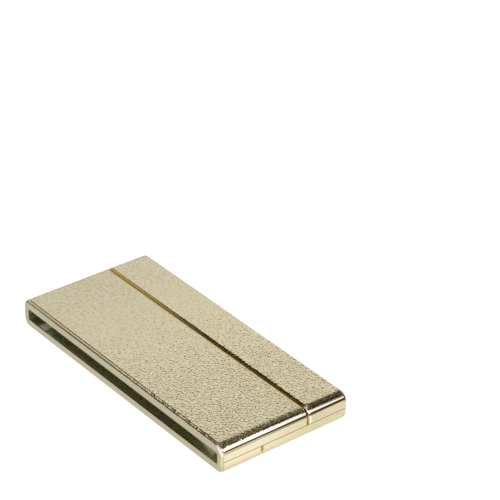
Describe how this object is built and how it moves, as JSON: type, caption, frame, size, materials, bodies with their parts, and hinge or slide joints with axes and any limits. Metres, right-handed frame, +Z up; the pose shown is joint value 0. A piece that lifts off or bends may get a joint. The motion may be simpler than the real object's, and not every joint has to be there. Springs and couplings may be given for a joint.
{
  "type": "magnetic leather strap clasp",
  "caption": "Flat gold-plated magnetic clasp of interlocking halves, with a pebbled top and a slot for a flat leather strap at each side.",
  "frame": {"origin": "under the middle of the closed clasp, on the surface that it lies on", "axes": "+X along the leather slots, -Y out of the cover half's slot, +Y out of the tongue half's slot, +Z up out of the pebbled top"},
  "size_m": [0.043, 0.0196, 0.0041],
  "materials": {
    "gold_plate": "pale gold plating, polished, with a fine pebbled top",
    "nickel_plate": "dull nickel plating"
  },
  "bodies": {
    "tongue_side": {"tongue_half": "gold_plate", "tongue_magnet_left": "nickel_plate", "tongue_magnet_right": "nickel_plate"},
    "cover_side": {"cover_half": "gold_plate", "cover_magnet_left": "nickel_plate", "cover_magnet_right": "nickel_plate"}
  },
  "joints": [
    {"name": "cover_lift", "type": "slide", "parent": "tongue_side", "child": "cover_side", "axis": [0, 0, 1], "range_m": [0, 0.015]}
  ]
}
